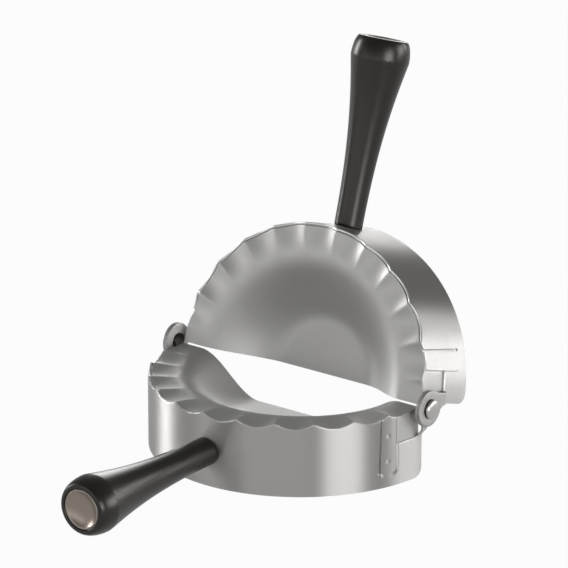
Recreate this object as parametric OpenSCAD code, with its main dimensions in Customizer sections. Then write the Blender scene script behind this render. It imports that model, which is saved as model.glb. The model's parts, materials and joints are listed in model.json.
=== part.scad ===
// Hinged ravioli mould: two half-round steel cutters with fluted, dished trays,
// riveted together at both ends of the hinge line, each with a turned grip.
// The hinge axis runs along X. The front half stands on its cutting edge on z = 0
// and points to -Y. The back half is the same pressing turned round, and is raised.
// Each half is drawn in its own frame: hinge axis above y = 0, handle along +Y.

/* [Pose] */
// Angle by which the back half is raised from lying flat beside the front half
raised_deg = 72.4; // [30:0.1:110]

/* [Cutter band] */
// Outer radius of the round cutter
outer_r = 60; // [55:1:70]
// Thickness of the band's steel sheet
band_t = 0.9; // [0.7:0.1:1.2]
// Height of the sharpened bevel inside the cutting edge
bevel_h = 1.2; // [0.6:0.1:2]
// Width of the flat that is left on the cutting edge
edge_land = 0.4; // [0.3:0.05:0.6]
// Radius of the band's lower corners at the hinge ends
corner_r = 4; // [2:0.5:5]

/* [Scalloped rim] */
// Scallops round one half of the rim
scallops = 12; // [10:1:14]
// Height of a crest above its valleys
crest_rise = 2.1; // [1.5:0.1:2.6]
// Angle of the first crest from the right-hand hinge, on the front half
crest_at = 2; // [0:0.5:7]
// Gap between the two rims when the mould is shut
rim_gap = 0.3; // [0.2:0.1:0.6]
// Angle by which the shut mould stops short of half a turn
shut_gap_deg = 1.5; // [1:0.1:2.5]

/* [Weld strip] */
// Arc from the end of the band to the near side of the strip
strip_from = 14; // [12:0.5:16]
// Width of the strip along the arc
strip_w = 8.8; // [7:0.1:10]
// Height of the strip's lower edge above the cutting edge
strip_z = 4; // [3:0.5:6]
// Depth by which the strip is pressed inward
strip_joggle = 0.3; // [0.2:0.05:0.5]
// Width of the slit beside the strip
slit_w = 0.7; // [0.5:0.1:1]
// Heights of the two spot welds
weld_z = [10.6, 21];
// Radius of a spot weld's dimple
weld_r = 0.8; // [0.5:0.1:1.2]

/* [Hinge] */
// Height of the hinge axis above the cutting edge
pivot_z = 28.3; // [27:0.1:32]
// Radius of the ears round the axis
ear_r = 7.2; // [6.5:0.1:8]
// Gap between the band's outer face and the inner ear, along the axis
ear_out = 1.6; // [0.8:0.1:2]
// Running gap between the inner and the outer ear
ear_gap = 0.2; // [0.1:0.05:0.4]
// Height at which the outer arm leaves the band
outer_arm_z = 15; // [13:0.5:16]
// Height at which the inner arm leaves the band
inner_arm_z = 17; // [15:0.5:18]
// Height over which an arm steps outward
arm_step_h = 3; // [2:0.5:4]
// Radius of the rivet's shank
rivet_r = 2; // [1.5:0.1:2.5]
// Running clearance of the shank in the inner ear
rivet_clear = 0.05; // [0.03:0.01:0.1]
// Radius of the rivet's domed head
rivet_head_r = 4; // [3.5:0.1:5]
// Height of the rivet's domed head
rivet_head_h = 2.3; // [1.5:0.1:2.8]
// Radius of the rivet's flattened tail
rivet_tail_r = 3.2; // [2.8:0.1:3.6]
// Thickness of the rivet's flattened tail
rivet_tail_h = 1.1; // [0.8:0.1:1.2]

/* [Tray] */
// Thickness of the tray's steel sheet
tray_t = 0.8; // [0.6:0.1:1]
// Radial length of the flutes inside the rim
flute_len = 13; // [10:0.5:16]
// Depth of the bowl below the hinge axis
bowl_depth = 16; // [12:0.5:18]
// Radius of the level floor of the bowl
floor_r = 20; // [14:1:26]
// Gap between the tray and the plane of the hinge axis
hinge_cut = 0.4; // [0.3:0.05:0.8]
// Height of the lower edge of the tray's side tabs
tab_z = 6; // [5:0.5:9]

/* [Grip] */
// Height of the grip's axis above the cutting edge
grip_z = 14.3; // [12.5:0.1:15]
// Length of the grip from the band to its end face
grip_len = 75.9; // [60:0.1:100]
// Radius of the grip where it meets the band
root_r = 5.7; // [5.5:0.1:7]
// Largest radius of the grip
bulb_r = 11.75; // [10:0.05:13]
// Radius of the grip's end face
face_r = 9.2; // [8.8:0.05:9.8]
// Distance of the largest radius from the end face
bulb_at = 8.3; // [5:0.1:9]
// Length over which the grip tapers from its largest radius to the root
taper_len = 66; // [45:1:70]
// Radius of the grip's rounded root edge
root_edge = 0.8; // [0.4:0.1:1.2]

/* [End cap] */
// Radius of the steel end cap
cap_r = 7.7; // [6.5:0.1:8.2]
// Thickness of the cap's rim
cap_t = 1.3; // [1:0.1:2]
// Depth of the cap's dished face
cap_dish = 0.45; // [0.2:0.05:0.7]
// Depth of the cap's rim below the end face of the grip
cap_sunk = 0.4; // [0.1:0.1:0.6]
// Radius of the cap's stem
stem_r = 3; // [2:0.1:4]
// Length of the cap's stem
stem_len = 9; // [6:0.5:12]

/* [Fastening] */
// Radius of the screw's shank
screw_r = 2; // [1.5:0.1:2.5]
// Length of the screw under its head
screw_len = 15; // [12:0.5:20]
// Radius of the screw's pan head
screw_head_r = 3.8; // [3.3:0.1:4.3]
// Height of the screw's pan head
screw_head_h = 2.6; // [2:0.1:3]
// Radius of the washer
washer_r = 4.6; // [4.3:0.1:6]
// Thickness of the washer
washer_t = 0.8; // [0.5:0.1:1.2]
// Outer radius of the threaded insert in the grip
insert_r = 3.6; // [3.3:0.1:4]
// Length of the threaded insert
insert_len = 16; // [12:0.5:20]
// Clearance between a part and its seat
seat_gap = 0.05; // [0.03:0.01:0.1]

/* [Hidden] */
$fn = 96;
pitch = 180 / scallops;
// Arc positions on the band, in millimetres from its ends
outer_end = 1.5;
inner_end = 0.5;
outer_arm_w = 5;
inner_arm_w = 2.6;
notch_arc = strip_from + 0.3;
// Places along the hinge axis
inner_ear_x = outer_r + ear_out;
outer_ear_x = inner_ear_x + band_t + ear_gap;
ear_face_x = outer_ear_x + band_t;
// Radii inside the band
strip_r = outer_r - strip_joggle;
tray_r = outer_r - band_t - strip_joggle;
bowl_r = tray_r - flute_len * 0.72;
// Flat seat of the washer inside the round band
washer_y = sqrt(pow(outer_r - band_t, 2) - pow(washer_r, 2)) - seat_gap;
// Grid of the tray: steps from the middle to the rim, and steps in one scallop
TRAY_RINGS = 14;
FLUTE_STEPS = 8;
RING_CROWDING = 1.4;
// Arc by which a side tab reaches past the weld strip
TAB_PAST_STRIP = 1.5;
// Height over which the flutes fade in, away from the hinge axis
FADE_FROM = 4;
FADE_TO = strip_from;
// Bend of the grip's taper
TAPER_POWER = 0.53;
GRIP_STEPS = 26;
SHOULDER_STEPS = 8;
// Cuts run past the faces that they cut by this much
over = 3;
// Corner radius of a weld strip, the width of the bend round it, and the height of the
// slit's lower end above the strip's lower edge
STRIP_CORNER = 2.5;
STRIP_BEND = 0.3;
SLIT_ABOVE = 1.2;
// Depth by which an arm overlaps the band below its notch
ARM_LAP = 1;
// Rounding of the screw's head, and the height of the cylinder under the rivet's dome
HEAD_ROUND = 1;
RIVET_RIM = 0.4;
// Hinge axis's place, which centres the part's outline on the origin
grip_end_y = outer_r + grip_len;
root_s = grip_len - root_edge;
back_y = max([for (p = grip_outline())
    p[1] * cos(raised_deg) + (pivot_z - grip_z + p[0]) * sin(raised_deg)]);
axis_y = (grip_end_y - back_y) / 2;

// Degrees of an arc length measured along the outside of the band
function arc_deg(mm) = mm / outer_r * 180 / PI;

function smooth(x) = let (c = min(max(x, 0), 1)) c * c * (3 - 2 * c);

// Height of a crest above its valleys at distance y from the hinge axis
function rise(y) = crest_rise * smooth((y - FADE_FROM) / (FADE_TO - FADE_FROM));

// Height of a valley at distance y from the axis: when shut, the crests of one rim
// come within rim_gap of the valleys of the other
function valley_z(y, r_share = 1) =
    pivot_z + (y * tan(shut_gap_deg) - rim_gap - rise(y) * r_share) / 2;

// Angles of the valleys of one half that has a crest at angle crest
function valleys(crest) = let (first = crest - pitch * floor(crest / pitch))
    [for (k = [-1 : scallops]) first + (k + 0.5) * pitch];

// Places one half of the mould: the front one turned round, the back one raised
module front() {
    translate([0, axis_y, 0]) rotate([0, 0, 180]) children();
}

module back() {
    translate([0, axis_y, pivot_z]) rotate([raised_deg, 0, 0])
        translate([0, 0, -pivot_z]) children();
}

// Extrudes a flat outline of (arc, height) through the band's wall at angle deg
module through_wall(deg) {
    rotate([0, 0, deg]) rotate([90, 0, 90]) translate([0, 0, outer_r - 2 * over])
        linear_extrude(4 * over) children();
}

// Half of a round tube from radius r_in to r_out, standing on height z
module half_tube(r_in, r_out, z, h) {
    difference() {
        translate([0, 0, z]) cylinder(r = r_out, h = h);
        translate([0, 0, z - 1]) cylinder(r = r_in, h = h + 2);
        translate([-2 * outer_r, -2 * outer_r, z - 1]) cube([4 * outer_r, 2 * outer_r, h + 2]);
    }
}

// Round valleys of the rim as radial cylinders, with crests between them
module rim_scallops(crest) {
    half_w = outer_r * tan(pitch / 2);
    for (a = valleys(crest)) {
        y = outer_r * max(sin(a), 0);
        rise_here = max(rise(y), 0.2);
        scoop_r = (half_w * half_w + rise_here * rise_here) / (2 * rise_here);
        rotate([0, 0, a]) translate([outer_r - 2 * over, 0, valley_z(y)]) intersection() {
            translate([0, 0, scoop_r]) rotate([0, 90, 0]) cylinder(r = scoop_r, h = 4 * over);
            translate([-1, -half_w - 0.1, -1]) cube([4 * over + 2, 2 * half_w + 0.2, pivot_z]);
        }
    }
}

// Outline of the weld strip: a tab with round lower corners
module strip_outline(grow = 0) {
    w = strip_w + 2 * grow;
    r = STRIP_CORNER + grow;
    corner_z = strip_z + STRIP_CORNER;
    translate([-w / 2, corner_z]) square([w, 2 * pivot_z]);
    translate([-w / 2 + r, corner_z - r]) square([w - 2 * r, 2 * pivot_z]);
    for (s = [-1, 1]) translate([s * (w / 2 - r), corner_z]) circle(r);
}

// Weld strips of both ends as prisms through the wall, made larger by grow
module strips(grow = 0) {
    mid = arc_deg(strip_from + strip_w / 2);
    for (deg = [mid, 180 - mid]) through_wall(deg) strip_outline(grow);
}

// Removes the band's end up to arc end_mm below a notch that starts at height z
module end_cut(end_mm, z) {
    translate([outer_r - 2 * over, -over, -1]) cube([4 * over, over + end_mm, 4 * pivot_z]);
    translate([outer_r - 2 * over, -over, z]) cube([4 * over, over + notch_arc, 4 * pivot_z]);
    difference() {
        translate([outer_r - 2 * over, end_mm - 1, -1]) cube([4 * over, 1 + corner_r, 1 + corner_r]);
        translate([outer_r - 3 * over, end_mm + corner_r, corner_r]) rotate([0, 90, 0])
            cylinder(r = corner_r, h = 6 * over);
    }
}

// Arm that steps out from the band, and the round ear at its top
module ear(face_x, end_mm, arm_w, z, hole_r) {
    in_x = outer_r - band_t;
    top = z + ARM_LAP + arm_step_h;
    difference() {
        union() {
            translate([0, end_mm + arm_w, 0]) rotate([90, 0, 0]) linear_extrude(arm_w)
                polygon([[in_x, z - ARM_LAP], [outer_r, z - ARM_LAP], [outer_r, z + 0.6],
                    [face_x + band_t, top - 0.4], [face_x + band_t, pivot_z],
                    [face_x, pivot_z], [face_x, top], [in_x, z + 1]]);
            translate([face_x, 0, pivot_z]) rotate([0, 90, 0]) cylinder(r = ear_r, h = band_t);
        }
        translate([face_x - 1, 0, pivot_z]) rotate([0, 90, 0])
            cylinder(r = hole_r, h = band_t + 2);
    }
}

// Half-round cutter: scalloped rim, notches, weld strips, bevelled edge and two ears
module band(crest) {
    blank_h = valley_z(outer_r) + crest_rise + 2;
    difference() {
        union() {
            difference() {
                half_tube(outer_r - band_t, outer_r, 0, blank_h);
                strips();
            }
            intersection() {
                half_tube(strip_r - band_t, strip_r, strip_z - STRIP_BEND, blank_h - strip_z);
                strips(STRIP_BEND);
            }
        }
        rim_scallops(crest);
        end_cut(outer_end, outer_arm_z);
        mirror([1, 0, 0]) end_cut(inner_end, inner_arm_z);
        slit_deg = arc_deg(strip_from + strip_w);
        for (deg = [slit_deg, 180 - slit_deg]) through_wall(deg)
            translate([-slit_w / 2, strip_z + SLIT_ABOVE]) square([slit_w, 2 * pivot_z]);
        weld_deg = arc_deg(strip_from + strip_w / 2);
        for (deg = [weld_deg, 180 - weld_deg]) for (z = weld_z)
            rotate([0, 0, deg]) translate([strip_r + weld_r, 0, z]) sphere(r = weld_r * 1.25, $fn = 32);
        translate([0, 0, -0.01]) cylinder(r1 = outer_r - edge_land, r2 = outer_r - band_t, h = bevel_h);
        translate([0, 0, grip_z]) rotate([-90, 0, 0]) cylinder(r = screw_r + 0.15, h = 2 * outer_r);
    }
    ear(outer_ear_x, outer_end, outer_arm_w, outer_arm_z, rivet_r);
    mirror([1, 0, 0]) ear(inner_ear_x, inner_end, inner_arm_w, inner_arm_z, rivet_r + rivet_clear);
}

// Share of the flutes that is left at radius r
function flute_share(r) = smooth((r - (tray_r - flute_len)) / flute_len);

// Depth of the bowl at radius r, and its slope
function bowl_share(r) = min(max((r - floor_r) / (bowl_r - floor_r), 0), 1);
function bowl_drop(r) = bowl_depth * (1 + cos(180 * bowl_share(r))) / 2;
function bowl_slope(r) = bowl_depth * PI / 2 * sin(180 * bowl_share(r)) / (bowl_r - floor_r);

// Height of the tray at radius r and angle deg: a flute is a round valley between two
// sharp crests, and it fades towards the bowl. to_crest is 1 on a crest, 0 in a valley
function tray_z(r, deg, crest) =
    let (y = r * sin(deg), turn = (deg - crest) / pitch, to_crest = 1 - 2 * abs(turn - round(turn)),
        share = flute_share(r))
    valley_z(y, share) + rise(y) * share * pow(to_crest, 2) - bowl_drop(r);

// Point of the tray: radius from the hinge line's middle, angle squeezed to the cut
function tray_point(r, deg, crest, sink) =
    let (cut_deg = asin(hinge_cut / r), a = cut_deg + (180 - 2 * cut_deg) * deg / 180)
    [r * cos(a), r * sin(a), tray_z(r, deg, crest) - sink];

// Side tab as faces of the tray's sheet, over the grid columns from ja to jb: the sheet
// turns down at the rim u, and ends in the lower edges v (inner) and t (outer)
function tab_faces(ja, jb, u, l, t, v) = concat(
    [for (j = [ja : jb - 1]) each [[u + j, u + j + 1, t + j + 1], [u + j, t + j + 1, t + j],
        [t + j, t + j + 1, v + j + 1], [t + j, v + j + 1, v + j],
        [v + j, v + j + 1, l + j + 1], [v + j, l + j + 1, l + j]]],
    [[u + ja, t + ja, v + ja], [u + ja, v + ja, l + ja],
        [u + jb, l + jb, v + jb], [u + jb, v + jb, t + jb]]);

// Pressed tray as one closed sheet: an upper and a lower grid, joined round the edge,
// with a side tab at each end of the hinge line that is welded behind the band's strip
module tray(crest) {
    step = pitch / FLUTE_STEPS;
    first = crest - step * floor(crest / step);
    angles = concat([0], [for (k = [0 : 180 / step]) let (a = first + k * step)
        if (a > step / 3 && a < 180 - step / 3) a], [180]);
    tab_deg = arc_deg(strip_from + strip_w + TAB_PAST_STRIP);
    n = len(angles);
    jb = len([for (a = angles) if (a <= tab_deg) a]) - 1;
    jc = n - len([for (a = angles) if (a >= 180 - tab_deg) a]);
    radii = [for (i = [1 : TRAY_RINGS])
        hinge_cut + (tray_r - hinge_cut) * (1 - pow(1 - i / TRAY_RINGS, RING_CROWDING))];
    last = TRAY_RINGS - 1;
    upper = [for (r = radii) for (a = angles) tray_point(r, a, crest, 0)];
    lower = [for (i = [0 : last]) for (j = [0 : n - 1])
        let (folded = i == last && (j <= jb || j >= jc))
        tray_point(radii[i] - (folded ? tray_t : 0), angles[j], crest,
            tray_t * sqrt(1 + pow(bowl_slope(radii[i]), 2)))];
    tab_out = [for (a = angles) let (p = tray_point(tray_r, a, crest, 0)) [p[0], p[1], tab_z]];
    tab_in = [for (a = angles) let (p = tray_point(tray_r - tray_t, a, crest, 0))
        [p[0], p[1], tab_z]];
    middle = [0, hinge_cut, tray_z(hinge_cut, 90, crest)];
    m = len(upper);
    top_mid = 2 * m;
    low_mid = top_mid + 1;
    rim = last * n;
    out = low_mid + 1;
    fan = [for (j = [0 : n - 2]) each [[top_mid, j + 1, j], [low_mid, m + j, m + j + 1]]];
    grid = [for (i = [0 : last - 1]) for (j = [0 : n - 2])
        let (a = i * n + j, b = a + n, c = b + 1, d = a + 1)
        each [[a, d, c], [a, c, b], [m + a, m + c, m + d], [m + a, m + b, m + c]]];
    edge = [for (j = [jb : jc - 1]) let (a = rim + j, b = a + 1)
        each [[a, b, m + b], [a, m + b, m + a]]];
    ends = [for (i = [0 : last - 1]) let (a = i * n, b = a + n, c = a + n - 1, d = b + n - 1)
        each [[a, b, m + b], [a, m + b, m + a], [d, c, m + c], [d, m + c, m + d]]];
    hub = [[top_mid, 0, m], [top_mid, m, low_mid], [n - 1, top_mid, low_mid],
        [n - 1, low_mid, m + n - 1]];
    polyhedron(
        points = concat(upper, lower, [middle, middle - [0, 0, tray_t]], tab_out, tab_in),
        faces = concat(fan, grid, edge, ends, hub, tab_faces(0, jb, rim, m + rim, out, out + n),
            tab_faces(jc, n - 1, rim, m + rim, out, out + n)), convexity = 6);
}

// Radius of the grip at distance s from its end face
function grip_r(s) = s < bulb_at
    ? face_r + (bulb_r - face_r) * sqrt(1 - pow(1 - s / bulb_at, 2))
    : root_r + (bulb_r - root_r)
        * (1 + cos(180 * pow(min((s - bulb_at) / taper_len, 1), TAPER_POWER))) / 2;

// Outline of the grip as (radius, distance from the hinge axis), from its end face to the
// rounding of its root: the wall cuts a taper that is longer than the grip
function grip_outline() = concat(
    [for (i = [0 : SHOULDER_STEPS - 1]) let (s = bulb_at * (1 - cos(90 * i / SHOULDER_STEPS)))
        [grip_r(s), grip_end_y - s]],
    [for (i = [0 : GRIP_STEPS]) let (s = bulb_at + (root_s - bulb_at) * pow(i / GRIP_STEPS, 1.3))
        [grip_r(s), grip_end_y - s]]);

// Turns a profile of (radius, distance) round the grip's axis
module on_grip_axis() {
    translate([0, 0, grip_z]) rotate([-90, 0, 0]) rotate_extrude() children();
}

module grip() {
    fillet_r = grip_r(root_s) - root_edge;
    color("#1c1c1e") difference() {
        on_grip_axis() difference() {
            union() {
                polygon(concat([[0, outer_r - over], [fillet_r, outer_r - over],
                    [fillet_r, outer_r + root_edge]],
                    [for (i = [len(grip_outline()) - 1 : -1 : 0]) grip_outline()[i]],
                    [[0, grip_end_y]]));
                translate([fillet_r, outer_r + root_edge]) circle(root_edge);
            }
            translate([-over - outer_r, 0]) square([outer_r + over, 2 * grip_end_y]);
            translate([-1, outer_r - over - 1]) square([insert_r + seat_gap + 1, over + 1 + insert_len + 1]);
            translate([-1, grip_end_y - cap_t - cap_sunk]) square([cap_r + seat_gap + 1, 2 * over]);
            translate([-1, grip_end_y - cap_t - cap_sunk - stem_len - 0.5])
                square([stem_r + seat_gap + 1, stem_len + 1]);
        }
        cylinder(r = outer_r, h = 2 * grip_z);
    }
}

module end_cap() {
    face = grip_end_y - cap_sunk;
    dish_r = cap_r - 0.7;
    color("#c9c9c8") on_grip_axis() polygon(concat(
        [[0, face - cap_t - stem_len], [stem_r - 0.5, face - cap_t - stem_len],
            [stem_r, face - cap_t - stem_len + 0.5], [stem_r, face - cap_t], [cap_r, face - cap_t],
            [cap_r, face - 0.35], [cap_r - 0.35, face]],
        [for (i = [6 : -1 : 0]) [dish_r * i / 6, face - cap_dish * (1 - pow(i / 6, 2))]]));
}

module washer() {
    color("#b8b8b8") on_grip_axis() difference() {
        translate([0, washer_y - washer_t]) square([washer_r, washer_t]);
        translate([-1, 0]) square([1 + screw_r + 0.2, 2 * outer_r]);
    }
}

module screw() {
    seat = washer_y - washer_t;
    color("#a8a8aa") difference() {
        on_grip_axis() {
            translate([0, seat]) square([screw_r, screw_len]);
            translate([0, seat - screw_head_h + HEAD_ROUND])
                square([screw_head_r, screw_head_h - HEAD_ROUND]);
            translate([0, seat - screw_head_h])
                square([screw_head_r - HEAD_ROUND, 2 * HEAD_ROUND]);
            translate([screw_head_r - HEAD_ROUND, seat - screw_head_h + HEAD_ROUND]) intersection() {
                circle(HEAD_ROUND);
                translate([0, -HEAD_ROUND]) square(HEAD_ROUND);
            }
        }
        for (s = [0, 90]) translate([0, seat - screw_head_h + 0.5, grip_z]) rotate([0, s, 0])
            cube([3.6, 2.4, 0.8], center = true);
    }
}

// Threaded insert moulded into the root of the grip, with a grip groove
module insert() {
    start = outer_r + 0.6;
    color("#b5893c") on_grip_axis() difference() {
        translate([screw_r + seat_gap, start]) square([insert_r - screw_r - seat_gap, insert_len]);
        translate([insert_r - 0.5, start + insert_len / 2 - 1]) square([1, 2]);
    }
}

// Rivet through both ears on one side: domed head outside, flattened tail inside
module rivet() {
    dome_h = rivet_head_h - RIVET_RIM;
    dome_r = (pow(rivet_head_r, 2) + dome_h * dome_h) / (2 * dome_h);
    tail_x = inner_ear_x - seat_gap - rivet_tail_h;
    color("#9d9c9a") translate([0, 0, pivot_z]) rotate([0, 90, 0]) {
        translate([0, 0, tail_x]) cylinder(r1 = rivet_tail_r - 0.4, r2 = rivet_tail_r, h = rivet_tail_h);
        translate([0, 0, tail_x]) cylinder(r = rivet_r, h = ear_face_x - tail_x);
        intersection() {
            translate([0, 0, ear_face_x]) cylinder(r = rivet_head_r, h = rivet_head_h);
            translate([0, 0, ear_face_x + rivet_head_h - dome_r]) sphere(r = dome_r);
        }
    }
}

module front_band() color("#c4c4c4") front() band(180 - crest_at);
module front_tray() color("#d0d0cf") front() tray(180 - crest_at);
module front_grip() front() grip();
module front_end_cap() front() end_cap();
module front_screw() front() screw();
module front_washer() front() washer();
module front_insert() front() insert();
module back_band() color("#c4c4c4") back() band(crest_at + pitch / 2);
module back_tray() color("#d0d0cf") back() tray(crest_at + pitch / 2);
module back_grip() back() grip();
module back_end_cap() back() end_cap();
module back_screw() back() screw();
module back_washer() back() washer();
module back_insert() back() insert();
// Each half carries the rivet that is tight in its outer ear
module left_rivet() front() rivet();
module right_rivet() back() rivet();

front_band();
front_tray();
front_grip();
front_end_cap();
front_screw();
front_washer();
front_insert();
back_band();
back_tray();
back_grip();
back_end_cap();
back_screw();
back_washer();
back_insert();
left_rivet();
right_rivet();
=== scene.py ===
"""Looks of the hinged ravioli mould: two half-round steel cutters, fluted trays and black grips.

Every surface is worked out in millimetres in the frame of one half, with the hinge axis above
y = 0, the grip along +Y and the outer hinge ear at +X. turn_front and turn_back then set it in
the shared frame, where the front half is turned round and the back half is raised.
"""

import json
import math

import bmesh
import bpy
import numpy as np
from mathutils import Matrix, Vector

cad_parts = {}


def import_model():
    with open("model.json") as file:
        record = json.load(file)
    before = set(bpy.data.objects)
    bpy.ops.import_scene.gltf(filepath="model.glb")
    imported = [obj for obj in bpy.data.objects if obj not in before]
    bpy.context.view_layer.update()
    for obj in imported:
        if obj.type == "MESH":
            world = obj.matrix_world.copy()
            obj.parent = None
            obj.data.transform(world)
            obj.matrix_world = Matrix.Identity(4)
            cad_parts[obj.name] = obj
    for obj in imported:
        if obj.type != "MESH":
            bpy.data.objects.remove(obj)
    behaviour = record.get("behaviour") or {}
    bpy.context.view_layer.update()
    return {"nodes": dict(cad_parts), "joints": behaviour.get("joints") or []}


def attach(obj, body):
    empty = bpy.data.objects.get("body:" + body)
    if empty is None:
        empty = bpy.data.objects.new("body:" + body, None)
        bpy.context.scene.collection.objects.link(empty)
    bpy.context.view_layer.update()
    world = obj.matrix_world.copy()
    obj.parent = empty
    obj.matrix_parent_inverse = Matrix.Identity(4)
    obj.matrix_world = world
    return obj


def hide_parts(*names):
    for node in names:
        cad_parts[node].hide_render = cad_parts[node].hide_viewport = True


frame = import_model()

# Sizes of the mould in millimetres
MM = 0.001
HINGE = frame["joints"][0]
AXIS_Y = HINGE["pos_m"][1] / MM
PIVOT_Z = HINGE["pos_m"][2] / MM
RAISED = math.radians(-HINGE["range_deg"][0])
OUTER_R = 60.0
BAND_T = 0.9
BEVEL_H = 1.2
EDGE_LAND = 0.4
CORNER_R = 4.0
OUTER_END = 1.5
INNER_END = 0.5
SCALLOPS = 12
PITCH = math.pi / SCALLOPS
RISE = 2.1
FRONT_CREST = math.radians(178.0)
BACK_CREST = math.radians(9.5)
SHUT_GAP = math.radians(1.5)
RIM_GAP = 0.3
FADE_FROM = 4.0
FADE_TO = 14.0
CREST_ROUND = 0.06
STRIP_FROM = 14.0
STRIP_W = 8.8
STRIP_Z = 4.0
STRIP_CORNER = 2.5
JOGGLE = 0.3
JOGGLE_W = 0.75
JOGGLE_OUT = 0.15
FOOT_TOP = STRIP_Z + STRIP_CORNER + 0.5
FOOT_FADE = 2.0
FOOT_SOFT = 1.1
SLIT_W = 1.0
SLIT_ABOVE = 1.2
SLIT_FADE = 1.2
SLIT_LEAN = 0.9
SLIT_REACH = 3.0
RIM_ROUND = 0.28
WELD_Z = (10.6, 21.0)
WELD_R = 1.15
WELD_DEPTH = 0.16
OUTER_ARM = (15.0, 1.5, 6.5)
INNER_ARM = (17.0, 0.5, 3.1)
EAR_R = 7.2
INNER_EAR_X = 61.6
OUTER_EAR_X = 62.7
EAR_FACE_X = 63.6
ARM_STEP = 4.0
ARM_STEP_BELOW = 0.4
ARM_FOOT = 1.2
EAR_WEB = 1.6
EAR_ROUND = 0.14
RIVET_R = 4.0
RIVET_H = 2.3
RIVET_SIDE = 0.9
DOME_POWER = 3.6
HEAD_BEVEL = 0.1
SHANK_R = 2.0
TAIL_R = 3.2
TAIL_H = 1.1
TAIL_ROUND = 0.35
TRAY_R = OUTER_R - BAND_T - JOGGLE
TRAY_T = 0.8
FLUTE_LEN = 13.0
BOWL_DEPTH = 16.0
FLOOR_R = 20.0
BOWL_R = TRAY_R - 0.72 * FLUTE_LEN
HINGE_CUT = 0.4
TRAY_BEND = 0.35
TRIM_BELOW = 1.0
TRIM_FADE = 1.5
TAB_Z = 6.0
TAB_ARC = STRIP_FROM + STRIP_W + 1.5
TAB_OUT_TO = STRIP_FROM - 0.6
TAB_FADE = 1.5
SHEET_GAP = 0.03
NOTCH_TO = STRIP_FROM + 0.44
SLIT_AT = STRIP_FROM + STRIP_W
GRIP_Z = 14.3
GRIP_LEN = 75.9
GRIP_END = OUTER_R + GRIP_LEN
ROOT_R = 5.7
BULB_R = 11.75
FACE_R = 9.2
BULB_AT = 8.3
TAPER_LEN = 66.0
TAPER_POWER = 0.53
FACE_LIP = 0.5
ROOT_ROUND = 0.8
ROOT_BLEND = 6.0
MOUTH_ROUND = 0.35
CAP_R = 8.1
CAP_T = 2.2
CAP_DISH = 1.9
CAP_SUNK = 0.12
CAP_CLEAR = 0.12
CAP_RIM = 0.45
CAP_LIP = 0.75
SEAT_GAP = 0.02
POLE_R = 0.01


# Placing and meshing
def turn_front(p):
    """A point of a half as a point of the front half: half a turn about the vertical."""
    x, y, z = p[..., 0], p[..., 1], p[..., 2]
    return np.stack([-x, AXIS_Y - y, z], -1) * MM


def turn_back(p):
    """A point of a half as a point of the back half: raised about the hinge axis."""
    x, y, z = p[..., 0], p[..., 1], p[..., 2] - PIVOT_Z
    c, s = math.cos(RAISED), math.sin(RAISED)
    return np.stack([x, AXIS_Y + y * c - z * s, PIVOT_Z + y * s + z * c], -1) * MM


HALVES = {"front": turn_front, "back": turn_back}


def piece_from_grid(name, grid, uv, place, body, node_slot, wrap=(False, True), caps=False,
                    edge=None):
    """A mesh on a grid of points (rows, columns, 3), closed along rows or columns where wrap says.

    With caps, each end row is filled by quads between its facing points, k and n - 1 - k.
    uv holds the same grid's pattern coordinates in millimetres, and edge is 1 on its cut edge, which
    gets a painted highlight.
    """
    rows, cols = grid.shape[:2]
    index = np.arange(rows * cols).reshape(rows, cols)
    if wrap[0]:
        index = np.concatenate([index, index[:1]], 0)
    if wrap[1]:
        index = np.concatenate([index, index[:, :1]], 1)
    quads = np.stack([index[:-1, :-1], index[1:, :-1], index[1:, 1:], index[:-1, 1:]], -1)
    quads = quads.reshape(-1, 4)
    if caps:
        half = cols // 2
        k = np.arange(half - 1)
        for row in (0, rows - 1):
            start = row * cols
            cap = np.stack([k, k + 1, cols - 2 - k, cols - 1 - k], -1) + start
            quads = np.concatenate([quads, cap])
    mesh = bpy.data.meshes.new(name)
    mesh.from_pydata(place(grid).reshape(-1, 3).tolist(), [], quads.tolist())
    layer = mesh.uv_layers.new(name="pattern")
    loop_vertex = np.zeros(len(mesh.loops), np.int32)
    mesh.loops.foreach_get("vertex_index", loop_vertex)
    layer.data.foreach_set("uv", (uv.reshape(-1, 2) * MM)[loop_vertex].astype(np.float32).ravel())
    if edge is not None:
        # Marks the cut edge, where the steel's base colour is lightened as a painted highlight.
        edge_highlight = mesh.attributes.new("edge_highlight", "FLOAT", "POINT")
        edge_highlight.data.foreach_set("value", edge.astype(np.float32).ravel())
    shell = bmesh.new()
    shell.from_mesh(mesh)
    bmesh.ops.remove_doubles(shell, verts=shell.verts, dist=1e-7)
    bmesh.ops.dissolve_degenerate(shell, edges=shell.edges, dist=1e-7)
    bmesh.ops.recalc_face_normals(shell, faces=shell.faces)
    shell.to_mesh(mesh)
    shell.free()
    mesh.polygons.foreach_set("use_smooth", np.ones(len(mesh.polygons), bool))
    mesh.set_sharp_from_angle(angle=math.radians(38))
    piece = bpy.data.objects.new(name, mesh)
    bpy.context.scene.collection.objects.link(piece)
    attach(piece, body)
    node, slot = node_slot
    if node:
        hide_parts(node)
    return piece


def smooth(x):
    """Smooth step from 0 to 1: three times the square less twice the cube."""
    c = np.clip(x, 0, 1)
    return c * c * (3 - 2 * c)


# Rim and tray
def rise(y):
    """Height of a crest above its valleys, which fades in away from the hinge axis."""
    return RISE * smooth((y - FADE_FROM) / (FADE_TO - FADE_FROM))


def valley_z(y, share=1.0):
    """Height of a valley: half of what the shut mould leaves between the two rims."""
    return PIVOT_Z + (y * math.tan(SHUT_GAP) - RIM_GAP - rise(y) * share) / 2


def crest_shape(angle, crest):
    """1 on a crest and 0 in the middle of a valley, as a parabola with a slightly round crest."""
    turn = (angle - crest) / PITCH
    from_crest = 2 * np.abs(turn - np.round(turn))
    softened = np.sqrt(from_crest ** 2 + CREST_ROUND ** 2) - CREST_ROUND / 2
    return np.clip(1 - softened, 0, 1) ** 2


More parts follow.
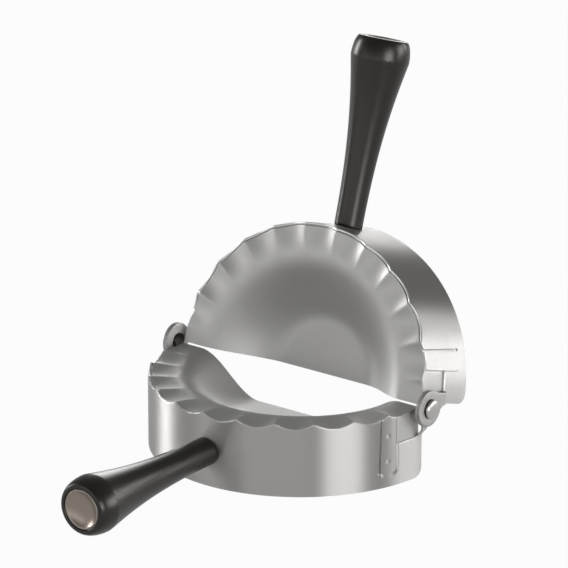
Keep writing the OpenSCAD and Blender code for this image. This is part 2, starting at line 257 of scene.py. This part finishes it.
def tray_z(r, angle, crest):
    """Height of the tray: valleys and crests that fade inwards, less the depth of the bowl."""
    y = r * np.sin(angle)
    share = smooth((r - (TRAY_R - FLUTE_LEN)) / FLUTE_LEN)
    bowl = np.clip((r - FLOOR_R) / (BOWL_R - FLOOR_R), 0, 1)
    drop = BOWL_DEPTH * (1 + np.cos(np.pi * bowl)) / 2
    return valley_z(y, share) + rise(y) * share * crest_shape(angle, crest) - drop


def bowl_slope(r):
    """Slope of the bowl's wall at radius r, for a sheet of even thickness."""
    bowl = np.clip((r - FLOOR_R) / (BOWL_R - FLOOR_R), 0, 1)
    return BOWL_DEPTH * np.pi / 2 * np.sin(np.pi * bowl) / (BOWL_R - FLOOR_R)


def with_steps(values, steps):
    """Sorted values with a close pair of columns on each side of a step in the outline."""
    pairs = [s + d for s in steps for d in (-0.006, 0.006)]
    keep = [v for v in values if all(abs(v - s) > 0.05 for s in steps)]
    return np.sort(np.array(keep + pairs))


TRAY_RINGS = 64
TRAY_COLUMNS = 289
RING_POWER = 1.35
TAB_ROWS = 6


def tray(half, crest):
    """Pressed tray: for each angle a closed section out along the top, down the tab and back.

    Behind the notches the tab steps out to the band. Below the rim the sheet's ends are trimmed
    level with the band's end, and above it they reach the hinge line.
    """
    tab = math.degrees(TAB_ARC / OUTER_R)
    degrees = with_steps(np.linspace(0, 180, TRAY_COLUMNS), [tab, 180 - tab])
    angle = np.radians(degrees)[:, None]
    tabbed = (angle < math.radians(tab)) | (angle > math.radians(180 - tab))
    out = (1 - (1 - np.linspace(0, 1, TRAY_RINGS)) ** RING_POWER)[None, :]
    bend = TRAY_BEND
    top_r = HINGE_CUT + (TRAY_R - bend - HINGE_CUT) * out
    low_r = HINGE_CUT + (TRAY_R - TRAY_T - HINGE_CUT) * out[:, ::-1]
    top_z = tray_z(top_r, angle, crest)
    low_z = tray_z(low_r, angle, crest) - TRAY_T * np.sqrt(1 + bowl_slope(low_r) ** 2)
    turn = np.linspace(0.2, 1, 5)[None, :] * np.pi / 2
    rim_z = tray_z(np.full_like(angle, TRAY_R - bend), angle, crest)
    bend_r = TRAY_R - bend * (1 - np.sin(turn)) + 0 * angle
    bend_z = rim_z - bend * (1 - np.cos(turn))
    down = np.linspace(0.1, 1, TAB_ROWS)[None, :]
    foot = np.where(tabbed, TAB_Z, rim_z - TRAY_T)
    wall_z = bend_z[:, -1:] + (foot - bend_z[:, -1:]) * down
    from_end = np.minimum(angle, np.pi - angle) * OUTER_R
    outwards = OUTER_R - BAND_T - SHEET_GAP - TRAY_R
    behind_notch = outwards * smooth((TAB_OUT_TO - from_end) / TAB_FADE)
    wall_r = TRAY_R + behind_notch * smooth(down * 3) + 0 * wall_z
    inner_z = foot + (low_z[:, :1] - foot) * (down - 0.1 * tabbed)
    inner_r = np.where(tabbed, TRAY_R - TRAY_T, TRAY_R - TRAY_T * down)
    radius = np.concatenate([np.broadcast_to(top_r, top_z.shape), bend_r, wall_r, inner_r,
                             np.broadcast_to(low_r, low_z.shape)], 1)
    height = np.concatenate([top_z, bend_z, wall_z, inner_z, low_z], 1)
    at_wall = radius > TRAY_R - TRAY_T - 0.05
    below_rim = smooth((rim_z - TRIM_BELOW - height) / TRIM_FADE) * at_wall
    end_y = HINGE_CUT + (OUTER_END - HINGE_CUT) * below_rim
    cut = np.arcsin(np.clip(end_y / radius, 0, 1))
    a = cut + (np.pi - 2 * cut) * angle / np.pi
    grid = np.stack([radius * np.cos(a), radius * np.sin(a), height], -1)
    uv = np.stack([radius * np.cos(a), radius * np.sin(a)], -1)
    return piece_from_grid(f"{half}_tray_sheet", grid, uv, HALVES[half], f"{half}_half",
                           (f"{half}_tray", "tray_steel"), caps=True)


# Cutter band
ARC_LEN = math.pi * OUTER_R
BAND_ROWS = 60
BAND_STEP = 0.46


def rim_height(s, crest):
    """Top edge of the band at arc s: round scoops between crests, notches and slits."""
    angle = s / OUTER_R
    turn = (angle - crest) / PITCH
    middle = (np.floor(turn) + 0.5) * PITCH + crest
    y = OUTER_R * np.clip(np.sin(middle), 0, 1)
    top = valley_z(y) + rise(y) * crest_shape(angle, crest)
    outer_end, inner_end = s, ARC_LEN - s
    top = np.where(outer_end < NOTCH_TO, OUTER_ARM[0], top)
    top = np.where(inner_end < NOTCH_TO, INNER_ARM[0], top)
    from_slit = np.minimum(np.abs(outer_end - SLIT_AT), np.abs(inner_end - SLIT_AT))
    in_slit = from_slit < SLIT_W / 2
    return np.where(in_slit, STRIP_Z + SLIT_ABOVE, top)


def foot_height(s):
    """Lower edge of the band: level, with round corners at the two ends."""
    def corner(along):
        left = np.clip(CORNER_R - along, 0, CORNER_R)
        return CORNER_R - np.sqrt(np.maximum(CORNER_R ** 2 - left ** 2, 0))
    return np.maximum(corner(s - OUTER_END), corner(ARC_LEN - INNER_END - s))


def strip_sink(s, z):
    """Depth of the pressed strip and its two weld dimples at arc s and height z.

    The strip's outline is a rectangle with round lower corners. The depth falls to 0 across the
    outline as a smooth step, which is wider at the foot. Beside the slit the full depth runs on
    to the slit, and ends there.
    """
    depth = np.zeros_like(z)
    beside_slit = smooth((z - STRIP_Z - SLIT_ABOVE) / SLIT_FADE)
    for along in (s, ARC_LEN - s):
        half_w = STRIP_W / 2
        off_mid = along - STRIP_FROM - half_w
        u = np.abs(off_mid) - (half_w - STRIP_CORNER) - beside_slit * (off_mid > 0)
        v = STRIP_Z + STRIP_CORNER - z
        beyond = np.hypot(np.maximum(u, 0), np.maximum(v, 0)) + np.minimum(np.maximum(u, v), 0)
        width = JOGGLE_W + FOOT_SOFT * smooth((FOOT_TOP - z) / FOOT_FADE)
        pressed_in = JOGGLE * smooth((STRIP_CORNER + JOGGLE_OUT - beyond) / width)
        depth = depth + pressed_in * np.where(off_mid > half_w, 1 - beside_slit, 1)
        for weld in WELD_Z:
            off = np.hypot(off_mid, z - weld)
            depth = depth + WELD_DEPTH * smooth((WELD_R - off) / WELD_R)
    return depth


def slit_lean(s, z):
    """Shift along the arc that leans each slit towards its end of the band with height."""
    up = np.clip((z - STRIP_Z - SLIT_ABOVE) / (PIVOT_Z - STRIP_Z), 0, 1)
    near_outer = np.exp(-((s - SLIT_AT) / SLIT_REACH) ** 2)
    near_inner = np.exp(-((ARC_LEN - s - SLIT_AT) / SLIT_REACH) ** 2)
    return SLIT_LEAN * up * (near_inner - near_outer)


def band(half, crest):
    """Half-round cutter: at each arc position a closed section up the outside and down the inside."""
    near = [NOTCH_TO, SLIT_AT - SLIT_W / 2, SLIT_AT + SLIT_W / 2]
    count = int((ARC_LEN - OUTER_END - INNER_END) / BAND_STEP)
    last = ARC_LEN - INNER_END
    ends = [v for c in (0.02, 0.15, 0.35) for v in (OUTER_END + c, last - c)]
    base = list(np.linspace(OUTER_END, last, count)) + ends
    s = with_steps(base, near + [ARC_LEN - v for v in near])[:, None]
    top, foot = rim_height(s, crest), foot_height(s)
    up = np.linspace(0, 1, BAND_ROWS)[None, :]
    edge = RIM_ROUND
    outer_z = foot + (top - edge - foot) * up
    outer_r = OUTER_R - strip_sink(s + 0 * outer_z, outer_z)
    turn = np.array([0.35, 0.7, 1.0])[None, :] * np.pi / 2
    lip_z = top - edge * (1 - np.sin(turn))
    lip_r = outer_r[:, -1:] - edge * (1 - np.cos(turn))
    bevel = np.clip((BEVEL_H - (outer_z - foot)) / BEVEL_H, 0, 1)
    inner_r = outer_r - BAND_T + bevel * (BAND_T - EDGE_LAND)
    inner_lip_r = outer_r[:, -1:] - BAND_T + edge * (1 - np.cos(turn))
    radius = np.concatenate([outer_r, lip_r, inner_lip_r[:, ::-1], inner_r[:, ::-1]], 1)
    height = np.concatenate([outer_z, lip_z, lip_z[:, ::-1], outer_z[:, ::-1]], 1)
    arc_s = s + slit_lean(s, height)
    a = arc_s / OUTER_R
    grid = np.stack([radius * np.cos(a), radius * np.sin(a), height], -1)
    uv = np.stack([arc_s, height], -1)
    column = np.arange(radius.shape[1])
    from_slit = np.minimum(np.abs(s - SLIT_AT), np.abs(ARC_LEN - s - SLIT_AT))
    off_slit = from_slit > SLIT_W / 2 + 0.05
    # The lip rows, away from the slits, get the painted highlight of the cut edge.
    on_lip = (column >= BAND_ROWS) & (column < BAND_ROWS + 2 * turn.size) & off_slit
    return piece_from_grid(f"{half}_band_sheet", grid, uv, HALVES[half], f"{half}_half",
                           (f"{half}_band", "band_steel"), caps=True, edge=on_lip + 0 * radius)


# Hinge
def ear(half, side, face_x, arm):
    """Ear and its arm: for each height a round-edged section, from the band up to the ear's top."""
    foot, near, far = arm
    base = foot - ARM_FOOT
    neck = PIVOT_Z - EAR_R
    low = np.linspace(base, neck, 26, endpoint=False)
    high = PIVOT_Z - EAR_R * np.cos(np.linspace(0, np.pi, 60)[:-1])
    z = np.concatenate([low, high, [PIVOT_Z + EAR_R * 0.9995]])[:, None]
    reach = np.sqrt(np.maximum(EAR_R ** 2 - (z - PIVOT_Z) ** 2, 1e-4))
    in_disc = z >= neck
    web = smooth((z - neck + EAR_WEB) / EAR_WEB)
    y0 = np.where(in_disc, np.minimum(-reach, near * (1 - web)), near * (1 - web))
    y1 = np.where(in_disc & ((z > PIVOT_Z) | (reach > far)), reach, far)
    step = smooth((z - foot + ARM_STEP_BELOW) / ARM_STEP)
    foot_x = OUTER_R - BAND_T + SHEET_GAP
    x0 = foot_x + (face_x - foot_x) * step
    x1 = x0 + BAND_T
    edge = EAR_ROUND
    turn = np.linspace(0, 1, 4)[None, :] * np.pi / 2
    s, c = edge * (1 - np.sin(turn)), edge * (1 - np.cos(turn))
    fill = np.linspace(0, 1, 14)[None, 1:-1]
    x = np.concatenate([x1 - s, x1 + 0 * fill, x1 - c], 1)
    y = np.concatenate([y0 + c, y0 + edge + (y1 - y0 - 2 * edge) * fill, y1 - s], 1)
    x_back = x0 + x1 - x
    x = np.concatenate([x, x_back[:, ::-1]], 1)
    y = np.concatenate([y, y[:, ::-1]], 1)
    grid = np.stack([x, y, z + 0 * x], -1)
    if side < 0:
        grid = grid * np.array([-1.0, 1.0, 1.0])
    uv = np.stack([y, z + 0 * y], -1)
    where = "outer" if side > 0 else "inner"
    return piece_from_grid(f"{half}_{where}_ear", grid, uv, HALVES[half], f"{half}_half",
                           (None, "band_steel"), caps=True)


def turned(profile, turns, axis):
    """A profile of (radius, distance) carried round an axis: X at the hinge, or Y at the grip."""
    angle = np.linspace(0, 2 * np.pi, turns, endpoint=False)[None, :]
    r, d = profile[:, :1], profile[:, 1:]
    u, v, w = r * np.cos(angle), r * np.sin(angle), d + 0 * angle
    if axis == "x":
        grid = np.stack([w, u, v + PIVOT_Z], -1)
    else:
        grid = np.stack([u, w, v + GRIP_Z], -1)
    uv = np.stack([angle * 10 + 0 * d, w + r * 0.7], -1)
    return grid, uv


def arc(centre, radius, start, end, count):
    """Points of an arc as (radius, distance), from start to end in degrees."""
    a = np.radians(np.linspace(start, end, count))
    return np.stack([centre[0] + radius * np.cos(a), centre[1] + radius * np.sin(a)], -1)


def rivet(half, side_name):
    """Rivet: a flattened tail inside the ears and a domed head outside.

    The dome's height is the square root of 1 less a power of the radius, above an upright side.
    """
    tail_x = INNER_EAR_X - 0.05 - TAIL_H
    r = RIVET_R * np.sin(np.linspace(1, 0.003, 26) * np.pi / 2)
    bulge = np.sqrt(np.clip(1 - (r / RIVET_R) ** DOME_POWER, 0, 1))
    dome = RIVET_SIDE + (RIVET_H - RIVET_SIDE) * bulge
    head = np.stack([r, EAR_FACE_X + dome], -1)
    profile = np.concatenate([
        [[POLE_R, tail_x + 0.15], [TAIL_R - 0.9, tail_x + 0.1]],
        arc((TAIL_R - TAIL_ROUND, tail_x + TAIL_ROUND), TAIL_ROUND, -90, 0, 5),
        [[TAIL_R, tail_x + TAIL_H], [SHANK_R, tail_x + TAIL_H], [SHANK_R, EAR_FACE_X],
         [RIVET_R - HEAD_BEVEL, EAR_FACE_X], [RIVET_R, EAR_FACE_X + HEAD_BEVEL]], head])
    grid, uv = turned(profile, 72, "x")
    return piece_from_grid(f"{side_name}_rivet_head", grid, uv, HALVES[half], f"{half}_half",
                           (f"{side_name}_rivet", "rivet_steel"))


# Grip and cap
def grip_radius(s):
    """Radius at distance s from the end face: an elliptic shoulder, then a long hollow taper."""
    shoulder = FACE_R + (BULB_R - FACE_R) * np.sqrt(np.clip(1 - (1 - s / BULB_AT) ** 2, 0, 1))
    along = np.clip((s - BULB_AT) / TAPER_LEN, 0, 1) ** TAPER_POWER
    taper = ROOT_R + (BULB_R - ROOT_R) * (1 + np.cos(np.pi * along)) / 2
    return np.where(s < BULB_AT, shoulder, taper)


def grip(half):
    """Turned grip: recess for the cap, rounded face, body, and a root that fits the round wall.

    Near the root each point is set back by as much as the wall's circle falls away beside it.
    """
    recess = GRIP_END - CAP_T - CAP_SUNK
    mouth_r, mouth_y = CAP_R + CAP_CLEAR, GRIP_END - MOUTH_ROUND
    on_shoulder = BULB_AT * (1 - np.cos(np.linspace(0.125, 1, 16) * np.pi / 2))
    on_taper = np.linspace(BULB_AT + 0.6, GRIP_LEN - 1.2, 110)
    body = np.concatenate([on_shoulder, on_taper])
    outside = np.stack([grip_radius(body), GRIP_END - body], -1)
    root = arc((ROOT_R - ROOT_ROUND, OUTER_R + ROOT_ROUND), ROOT_ROUND, 0, -80, 6)
    profile = np.concatenate([
        [[POLE_R, recess], [mouth_r, recess], [mouth_r, mouth_y]],
        arc((mouth_r + MOUTH_ROUND, mouth_y), MOUTH_ROUND, 180, 100, 5),
        [[FACE_R - FACE_LIP, GRIP_END - 0.01]],
        outside, root, [[POLE_R, OUTER_R + SEAT_GAP]]])
    grid, uv = turned(profile, 96, "y")
    wall = np.sqrt(np.maximum(OUTER_R ** 2 - grid[..., 0] ** 2, 0)) - OUTER_R
    near_root = np.clip(1 - (grid[..., 1] - OUTER_R) / ROOT_BLEND, 0, 1)
    grid[..., 1] += wall * near_root
    return piece_from_grid(f"{half}_grip_body", grid, uv, HALVES[half], f"{half}_half",
                           (f"{half}_grip", "grip_plastic"))


def end_cap(half):
    """End cap: a round-rimmed disc in the grip's end, dished by the cube of the radius."""
    face = GRIP_END - CAP_SUNK
    seat = face - CAP_T + SEAT_GAP
    dish_r = CAP_R - CAP_LIP
    r = np.linspace(POLE_R, dish_r, 30)
    dish = np.stack([r, face - CAP_DISH * (1 - (r / dish_r) ** 3)], -1)
    rim = arc((CAP_R - CAP_RIM, face - CAP_RIM), CAP_RIM, 90, 0, 9)
    profile = np.concatenate([dish, rim, [[CAP_R, seat], [POLE_R, seat]]])
    grid, uv = turned(profile, 96, "y")
    return piece_from_grid(f"{half}_cap_disc", grid, uv, HALVES[half], f"{half}_half",
                           (f"{half}_end_cap", "cap_steel"))


# Materials
# Lighter base colour for the band's cut edge: a painted highlight.
EDGE_HIGHLIGHT = (0.86, 0.85, 0.83)
STEEL_GRAIN_DEPTH = 0.02 * MM
PLASTIC_GRAIN_DEPTH = 0.03 * MM
NOISE_MIDDLE = (0.3, 0.7)
# Rise above the ear's face, in mm, over which the rivet's painted shade fades to its own colour.
RIVET_SHADE_SPAN = (0.5, 1.7)


def new_material(name, color, metallic, roughness, **sockets):
    """A Principled material with constant values set on its own sockets."""
    material = bpy.data.materials.new(name)
    material.use_nodes = True
    shader = material.node_tree.nodes["Principled BSDF"]
    shader.inputs["Base Color"].default_value = (*color, 1)
    shader.inputs["Metallic"].default_value = metallic
    shader.inputs["Roughness"].default_value = roughness
    for socket, value in sockets.items():
        shader.inputs[socket.replace("_", " ")].default_value = value
    return material, material.node_tree.nodes, material.node_tree.links, shader


def stretched_noise(nodes, links, source, scale, detail=4.0):
    """Noise on stretched coordinates, for grain that runs along one direction."""
    mapping = nodes.new("ShaderNodeMapping")
    mapping.inputs["Scale"].default_value = scale
    noise = nodes.new("ShaderNodeTexNoise")
    noise.inputs["Scale"].default_value = 1.0
    noise.inputs["Detail"].default_value = detail
    links.new(source, mapping.inputs["Vector"])
    links.new(mapping.outputs["Vector"], noise.inputs["Vector"])
    return noise.outputs["Fac"]


def range_of(nodes, links, value, low, high):
    """Maps noise from its usual middle range to low..high."""
    scale = nodes.new("ShaderNodeMapRange")
    scale.inputs["From Min"].default_value = NOISE_MIDDLE[0]
    scale.inputs["From Max"].default_value = NOISE_MIDDLE[1]
    scale.inputs["To Min"].default_value = low
    scale.inputs["To Max"].default_value = high
    links.new(value, scale.inputs["Value"])
    return scale.outputs["Result"]


def brushed_steel(name, color, roughness, grain, anisotropic, strength, highlight_color=None):
    """Satin steel: fine grain along one pattern direction, with a painted highlight on the cut edge
    if given.
    """
    material, nodes, links, shader = new_material(name, color, 1.0, roughness,
                                                  Anisotropic=anisotropic,
                                                  Anisotropic_Rotation=0.25)
    coords = nodes.new("ShaderNodeTexCoord")
    fine = stretched_noise(nodes, links, coords.outputs["UV"], grain)
    links.new(range_of(nodes, links, fine, roughness - 0.05, roughness + 0.07),
              shader.inputs["Roughness"])
    # Painted highlight: the base colour is mixed towards a lighter one on the cut edge.
    if highlight_color:
        on_edge = nodes.new("ShaderNodeAttribute")
        on_edge.attribute_name = "edge_highlight"
        tint = nodes.new("ShaderNodeMix")
        tint.data_type = "RGBA"
        tint.inputs["A"].default_value = (*color, 1)
        tint.inputs["B"].default_value = (*highlight_color, 1)
        links.new(on_edge.outputs["Fac"], tint.inputs["Factor"])
        links.new(tint.outputs["Result"], shader.inputs["Base Color"])
    bump = nodes.new("ShaderNodeBump")
    bump.inputs["Strength"].default_value = strength
    bump.inputs["Distance"].default_value = STEEL_GRAIN_DEPTH
    links.new(fine, bump.inputs["Height"])
    links.new(bump.outputs["Normal"], shader.inputs["Normal"])
    tangent = nodes.new("ShaderNodeTangent")
    tangent.direction_type = "UV_MAP"
    tangent.uv_map = "pattern"
    links.new(tangent.outputs["Tangent"], shader.inputs["Tangent"])
    return material


def rivet_steel(color, shade_color, roughness):
    """Rivet metal with painted shade: dark low on its side, where it meets the ear."""
    material, nodes, links, shader = new_material("rivet_steel", color, 1.0, roughness)
    coords = nodes.new("ShaderNodeTexCoord")
    axes = nodes.new("ShaderNodeSeparateXYZ")
    links.new(coords.outputs["Object"], axes.inputs["Vector"])
    out = nodes.new("ShaderNodeMath")
    out.operation = "ABSOLUTE"
    links.new(axes.outputs["X"], out.inputs[0])
    # Painted shade: the base colour goes dark towards the ear's face.
    shade_fade = nodes.new("ShaderNodeMapRange")
    shade_fade.interpolation_type = "SMOOTHSTEP"
    shade_fade.inputs["From Min"].default_value = (EAR_FACE_X + RIVET_SHADE_SPAN[0]) * MM
    shade_fade.inputs["From Max"].default_value = (EAR_FACE_X + RIVET_SHADE_SPAN[1]) * MM
    links.new(out.outputs["Value"], shade_fade.inputs["Value"])
    mix = nodes.new("ShaderNodeMix")
    mix.data_type = "RGBA"
    mix.inputs["A"].default_value = (*shade_color, 1)
    mix.inputs["B"].default_value = (*color, 1)
    links.new(shade_fade.outputs["Result"], mix.inputs["Factor"])
    links.new(mix.outputs["Result"], shader.inputs["Base Color"])
    return material


def satin_plastic():
    """Black satin plastic with a very fine moulded texture."""
    black = (0.004, 0.0037, 0.0034)
    material, nodes, links, shader = new_material("black_plastic", black, 0.0, 0.29,
                                                  Specular_IOR_Level=0.55,
                                                  Specular_Tint=(1.0, 0.95, 0.89, 1.0))
    coords = nodes.new("ShaderNodeTexCoord")
    fine = stretched_noise(nodes, links, coords.outputs["Object"], (2200, 2200, 2200), 3.0)
    links.new(range_of(nodes, links, fine, 0.27, 0.33), shader.inputs["Roughness"])
    bump = nodes.new("ShaderNodeBump")
    bump.inputs["Strength"].default_value = 0.4
    bump.inputs["Distance"].default_value = PLASTIC_GRAIN_DEPTH
    links.new(fine, bump.inputs["Height"])
    links.new(bump.outputs["Normal"], shader.inputs["Normal"])
    return material


def plain_metal(name, color, roughness):
    """Small hidden hardware: even metal with faint uneven gloss."""
    material, nodes, links, shader = new_material(name, color, 1.0, roughness)
    coords = nodes.new("ShaderNodeTexCoord")
    fine = stretched_noise(nodes, links, coords.outputs["Object"], (700, 700, 700), 2.0)
    links.new(range_of(nodes, links, fine, roughness - 0.05, roughness + 0.06),
              shader.inputs["Roughness"])
    return material


def assign(piece, material):
    """Gives a piece one material."""
    piece.data.materials.clear()
    piece.data.materials.append(material)


# The object
# The band's cut edge gets a painted highlight in its base colour.
steel = brushed_steel("brushed_band", (0.505, 0.495, 0.485), 0.38, (60, 5200, 1), 0.97, 0.08,
                      highlight_color=EDGE_HIGHLIGHT)
pressed = brushed_steel("pressed_tray", (0.54, 0.535, 0.525), 0.50, (500, 2600, 1), 0.2, 0.0)
cap_metal = brushed_steel("cap_steel", (0.33, 0.285, 0.245), 0.33, (40, 4000, 1), 0.3, 0.05)
# The rivet's second colour is painted shade low on its side, next to the ear.
rivet_metal = rivet_steel((0.60, 0.575, 0.56), (0.05, 0.047, 0.045), 0.30)
plastic = satin_plastic()
screw_metal = plain_metal("screw_steel", (0.55, 0.55, 0.56), 0.32)
brass = plain_metal("insert_brass", (0.62, 0.42, 0.16), 0.35)

for half, crest in (("front", FRONT_CREST), ("back", BACK_CREST)):
    assign(band(half, crest), steel)
    assign(ear(half, 1, OUTER_EAR_X, OUTER_ARM), steel)
    assign(ear(half, -1, INNER_EAR_X, INNER_ARM), steel)
    assign(tray(half, crest), pressed)
    assign(grip(half), plastic)
    assign(end_cap(half), cap_metal)
    assign(frame["nodes"][f"{half}_screw"], screw_metal)
    assign(frame["nodes"][f"{half}_washer"], screw_metal)
    assign(frame["nodes"][f"{half}_insert"], brass)
assign(rivet("front", "left"), rivet_metal)
assign(rivet("back", "right"), rivet_metal)


# Studio: an even sky, and soft boxes as azimuth and half width in degrees, and strength
# The foot and top of a box are given as the height of a direction of length 1
SKY = 0.25
BOX_FOOT = -0.2
BOX_TOP = 0.35
BOX_SOFT = 5
BOX_TOP_SOFT = 0.1
FLOOR_HALF = 6.0
FLOOR_DROP = 0.3 * MM
FLOOR_GREY = 0.62
WHITE_TO_CAMERA = 0.96
WHITE_TO_GLOSS = 0.45
SOFT_BOXES = {
    "front": (-90, 45, 1),
    "front_right": (-20, 15, 6.5),
    "right": (35, 15, 5),
    "far_right": (65, 5, 6.5),
    "back_right": (120, 10, 5),
    "back_left": (-170, 7, 12),
}

# View: angles in degrees, lens in millimetres, distance and target in metres
VIEW_AZIMUTH = 37.5
VIEW_ELEVATION = 19.77
VIEW_LENS = 331.82
VIEW_DISTANCE = 2.01469
VIEW_TARGET = Vector((0.01804, -0.03377 + AXIS_Y * MM, 0.07948))


def floor():
    """Pale floor: mostly white to the camera, with the object's soft shadow left on it."""
    size = FLOOR_HALF
    mesh = bpy.data.meshes.new("floor")
    mesh.from_pydata([(-size, -size, 0), (size, -size, 0), (size, size, 0), (-size, size, 0)], [],
                     [(0, 1, 2, 3)])
    plane = bpy.data.objects.new("floor", mesh)
    plane.location = (0, 0, -FLOOR_DROP)
    bpy.context.scene.collection.objects.link(plane)
    material, nodes, links, shader = new_material("floor_white", (FLOOR_GREY,) * 3, 0.0, 0.9)
    shader.inputs["Specular IOR Level"].default_value = 0.0
    white = nodes.new("ShaderNodeEmission")
    path = nodes.new("ShaderNodeLightPath")
    share = nodes.new("ShaderNodeMath")
    share.operation = "MULTIPLY_ADD"
    share.inputs[1].default_value = WHITE_TO_CAMERA
    glossy = nodes.new("ShaderNodeMath")
    glossy.operation = "MULTIPLY"
    glossy.inputs[1].default_value = WHITE_TO_GLOSS
    links.new(path.outputs["Is Glossy Ray"], glossy.inputs[0])
    links.new(path.outputs["Is Camera Ray"], share.inputs[0])
    links.new(glossy.outputs["Value"], share.inputs[2])
    mix = nodes.new("ShaderNodeMixShader")
    links.new(share.outputs["Value"], mix.inputs["Fac"])
    links.new(shader.outputs["BSDF"], mix.inputs[1])
    links.new(white.outputs["Emission"], mix.inputs[2])
    links.new(mix.outputs["Shader"], nodes["Material Output"].inputs["Surface"])
    mesh.materials.append(material)


def world(boxes, sky):
    """Studio round the object as light by direction, white to the camera.

    The sky is even. Each box is a soft-edged upright patch of light that stands on the horizon:
    azimuth and half its width in degrees, and strength. All boxes have the same height.
    """
    made = bpy.data.worlds.new("studio")
    made.use_nodes = True
    nodes, links = made.node_tree.nodes, made.node_tree.links
    coords = nodes.new("ShaderNodeTexCoord")

    def window(value, start, end, soft, inside=1.0):
        """inside between start and end, and 0 beyond, with soft edges."""
        up, down = (nodes.new("ShaderNodeMapRange") for _ in range(2))
        for node, edge, first, second in ((up, start, 0.0, inside), (down, end, 1.0, 0.0)):
            node.interpolation_type = "SMOOTHSTEP"
            node.inputs["From Min"].default_value = edge - soft
            node.inputs["From Max"].default_value = edge + soft
            node.inputs["To Min"].default_value = first
            node.inputs["To Max"].default_value = second
            links.new(value, node.inputs["Value"])
        return combine("MULTIPLY", up.outputs["Result"], down.outputs["Result"])

    def combine(operation, first, second):
        """One math step on two values."""
        node = nodes.new("ShaderNodeMath")
        node.operation = operation
        links.new(first, node.inputs[0])
        links.new(second, node.inputs[1])
        return node.outputs["Value"]

    total = None
    for azimuth, half_width, strength in boxes.values():
        turned_by = nodes.new("ShaderNodeMapping")
        turned_by.vector_type = "VECTOR"
        turned_by.inputs["Rotation"].default_value = (0, 0, -math.radians(azimuth))
        links.new(coords.outputs["Generated"], turned_by.inputs["Vector"])
        axes = nodes.new("ShaderNodeSeparateXYZ")
        links.new(turned_by.outputs["Vector"], axes.inputs["Vector"])
        angle = combine("ARCTAN2", axes.outputs["Y"], axes.outputs["X"])
        across = window(angle, -math.radians(half_width), math.radians(half_width),
                        math.radians(BOX_SOFT), strength)
        along = window(axes.outputs["Z"], BOX_FOOT, BOX_TOP, BOX_TOP_SOFT)
        patch = combine("MULTIPLY", across, along)
        total = combine("ADD", total, patch) if total else patch
    level = nodes.new("ShaderNodeMath")
    level.operation = "ADD"
    level.inputs[1].default_value = sky
    links.new(total, level.inputs[0])
    path = nodes.new("ShaderNodeLightPath")
    seen = nodes.new("ShaderNodeMapRange")
    seen.inputs["To Max"].default_value = 1.0
    links.new(path.outputs["Is Camera Ray"], seen.inputs["Value"])
    links.new(level.outputs["Value"], seen.inputs["To Min"])
    links.new(seen.outputs["Result"], nodes["Background"].inputs["Strength"])
    nodes["Background"].inputs["Color"].default_value = (1, 1, 1, 1)
    bpy.context.scene.world = made


def camera():
    """Camera with a long lens, at a distance from its target along azimuth and elevation."""
    azimuth, elevation = math.radians(VIEW_AZIMUTH), math.radians(VIEW_ELEVATION)
    level = math.cos(elevation)
    back = Vector((math.sin(azimuth) * level, -math.cos(azimuth) * level, math.sin(elevation)))
    data = bpy.data.cameras.new("camera")
    data.sensor_width = 36.0
    data.lens = VIEW_LENS
    data.clip_end = 50
    made = bpy.data.objects.new("camera", data)
    made.location = VIEW_TARGET + back * VIEW_DISTANCE
    made.rotation_euler = (-back).to_track_quat("-Z", "Y").to_euler()
    bpy.context.scene.collection.objects.link(made)
    bpy.context.scene.camera = made


floor()
world(SOFT_BOXES, SKY)
camera()
bpy.context.scene.view_settings.view_transform = "Standard"
